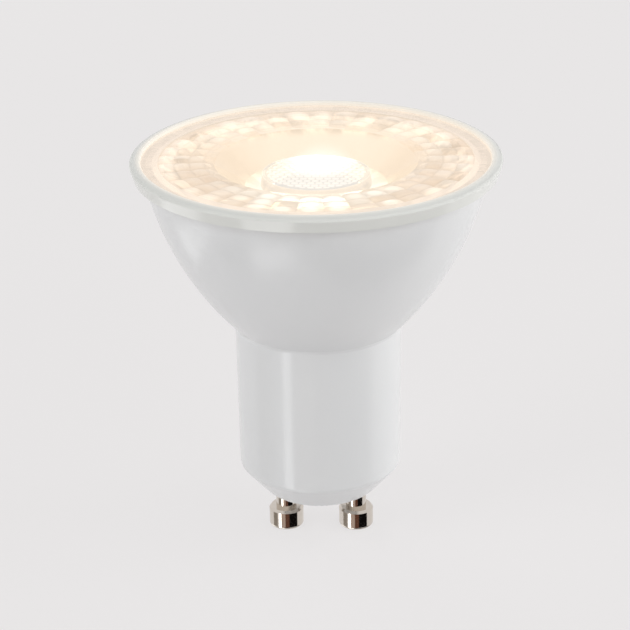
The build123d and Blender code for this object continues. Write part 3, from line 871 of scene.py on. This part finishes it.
def softbox(name, place, aim, width, height, power):
    """Soft rectangular lamp at a place, turned to what it aims at."""
    light = bpy.data.lights.new(name, "AREA")
    light.shape = "RECTANGLE"
    light.size = width
    light.size_y = height
    light.energy = power
    holder = bpy.data.objects.new(name, light)
    bpy.context.scene.collection.objects.link(holder)
    holder.location = place
    holder.rotation_euler = (Vector(aim) - Vector(place)).to_track_quat("-Z", "Y").to_euler()
    holder.visible_glossy = False
    holder.visible_transmission = False


middle = (0.0, 0.0, 0.03)
softbox("left_light", (-0.55, -0.35, 0.35), middle, 0.35, 0.5, 1.55)
softbox("right_light", (0.6, -0.05, 0.3), middle, 0.4, 0.5, 1.35)
softbox("front_light", (0.42, -0.5, 0.38), middle, 0.4, 0.3, 0.75)
softbox("back_right_light", (0.5, 0.35, 0.15), middle, 0.4, 0.3, 0.7)
softbox("back_left_light", (-0.35, 0.55, 0.2), middle, 0.4, 0.3, 0.9)

# Bright screens and dark flags stand round the lamp, low down, for its gloss to mirror.
# Only glossy rays see them, and they give no light of their own.
# Each has its direction, width and height in degrees, and its brightness.
screen_reach = 0.6
screens = {
    "bright_strip": (-43, -26, 12, 22, (6.5, 6.5, 6.5)),
    "bright_window": (-103, -35, 36, 8, (2.2, 2.2, 2.2)),
    "ring_flag": (-70, -45, 22, 10, (0.2, 0.21, 0.19)),
    "low_flag": (40, -54, 90, 18, (0.05, 0.05, 0.05)),
    "low_window": (-36, -50, 26, 11, (3.2, 3.2, 3.2)),
    "grey_flag": (-78, -24, 30, 16, (0.30, 0.27, 0.24)),
    "middle_flag": (-20, -26, 28, 20, (0.48, 0.38, 0.33)),
    "brown_flag": (7, -26, 24, 22, (0.13, 0.06, 0.04)),
    "black_flag": (48, -26, 56, 22, (0.006, 0.005, 0.005)),
}


def screen(name, azimuth, elevation, wide, high, colour):
    """Upright screen facing the lamp from a direction, as wide and high as these angles."""
    round_lamp = Matrix.Rotation(math.radians(azimuth), 3, "Z")
    towards = round_lamp @ Matrix.Rotation(math.radians(-elevation), 3, "X")
    away = towards @ Vector((0.0, -screen_reach, 0.0))
    half = [screen_reach * math.tan(math.radians(span / 2)) for span in (wide, high)]
    sides = [towards @ Vector((half[0], 0.0, 0.0)), towards @ Vector((0.0, 0.0, half[1]))]
    corners = [away + a * sides[0] + b * sides[1] for a, b in ((-1, -1), (1, -1), (1, 1), (-1, 1))]
    mesh = bpy.data.meshes.new(name)
    mesh.from_pydata(corners, [], [(0, 1, 2, 3)])
    made = bpy.data.objects.new(name, mesh)
    bpy.context.scene.collection.objects.link(made)
    glow, net = material(name)
    shine = net.node("ShaderNodeEmission", None, {"Color": (*colour, 1.0), "Strength": 1.0})
    net.node("ShaderNodeOutputMaterial", None, {"Surface": shine["Emission"]})
    mesh.materials.append(glow)
    for ray_kind in ("camera", "diffuse", "transmission", "volume_scatter", "shadow"):
        setattr(made, f"visible_{ray_kind}", False)
    made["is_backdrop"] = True


for name, values in screens.items():
    screen(name, *values)


# The camera looks down at the lens, nearly square on to the pair of pins.
# Its place was fitted to the lamp's outline in the photograph, where aimed_point shows at aimed_pixel.
picture = 630
sensor_width = 36.0
focal_pixels = 2081.61
distance = 0.28091
looking_down = math.radians(22.968)
roll = math.radians(0.9)
lamp_turn = math.radians(-2.487)
aimed_point = Vector((0.0, 0.0, 0.050))
aimed_pixel = (316.56, 195.8)

ahead = Vector((0.0, math.cos(looking_down), -math.sin(looking_down)))
level = Vector((1.0, 0.0, 0.0))
upright = level.cross(ahead)
right = math.cos(roll) * level - math.sin(roll) * upright
above = math.sin(roll) * level + math.cos(roll) * upright
to_right = (aimed_pixel[0] - picture / 2) / focal_pixels * distance
to_above = (picture / 2 - aimed_pixel[1]) / focal_pixels * distance
facing = Matrix((right, above, -ahead)).transposed().to_4x4()
facing.translation = aimed_point - to_right * right - to_above * above - distance * ahead
camera_data = bpy.data.cameras.new("camera")
camera_data.sensor_width = sensor_width
camera_data.lens = focal_pixels / picture * sensor_width
camera_data.clip_start = 0.01
camera = bpy.data.objects.new("camera", camera_data)
bpy.context.scene.collection.objects.link(camera)
camera.matrix_world = Matrix.Rotation(-lamp_turn, 4, "Z") @ facing
bpy.context.scene.camera = camera
bpy.context.scene.view_settings.view_transform = "Standard"

visual_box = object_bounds()
sizes = {"cad": [list(corner) for corner in cad_box], "visual": [list(corner) for corner in visual_box]}
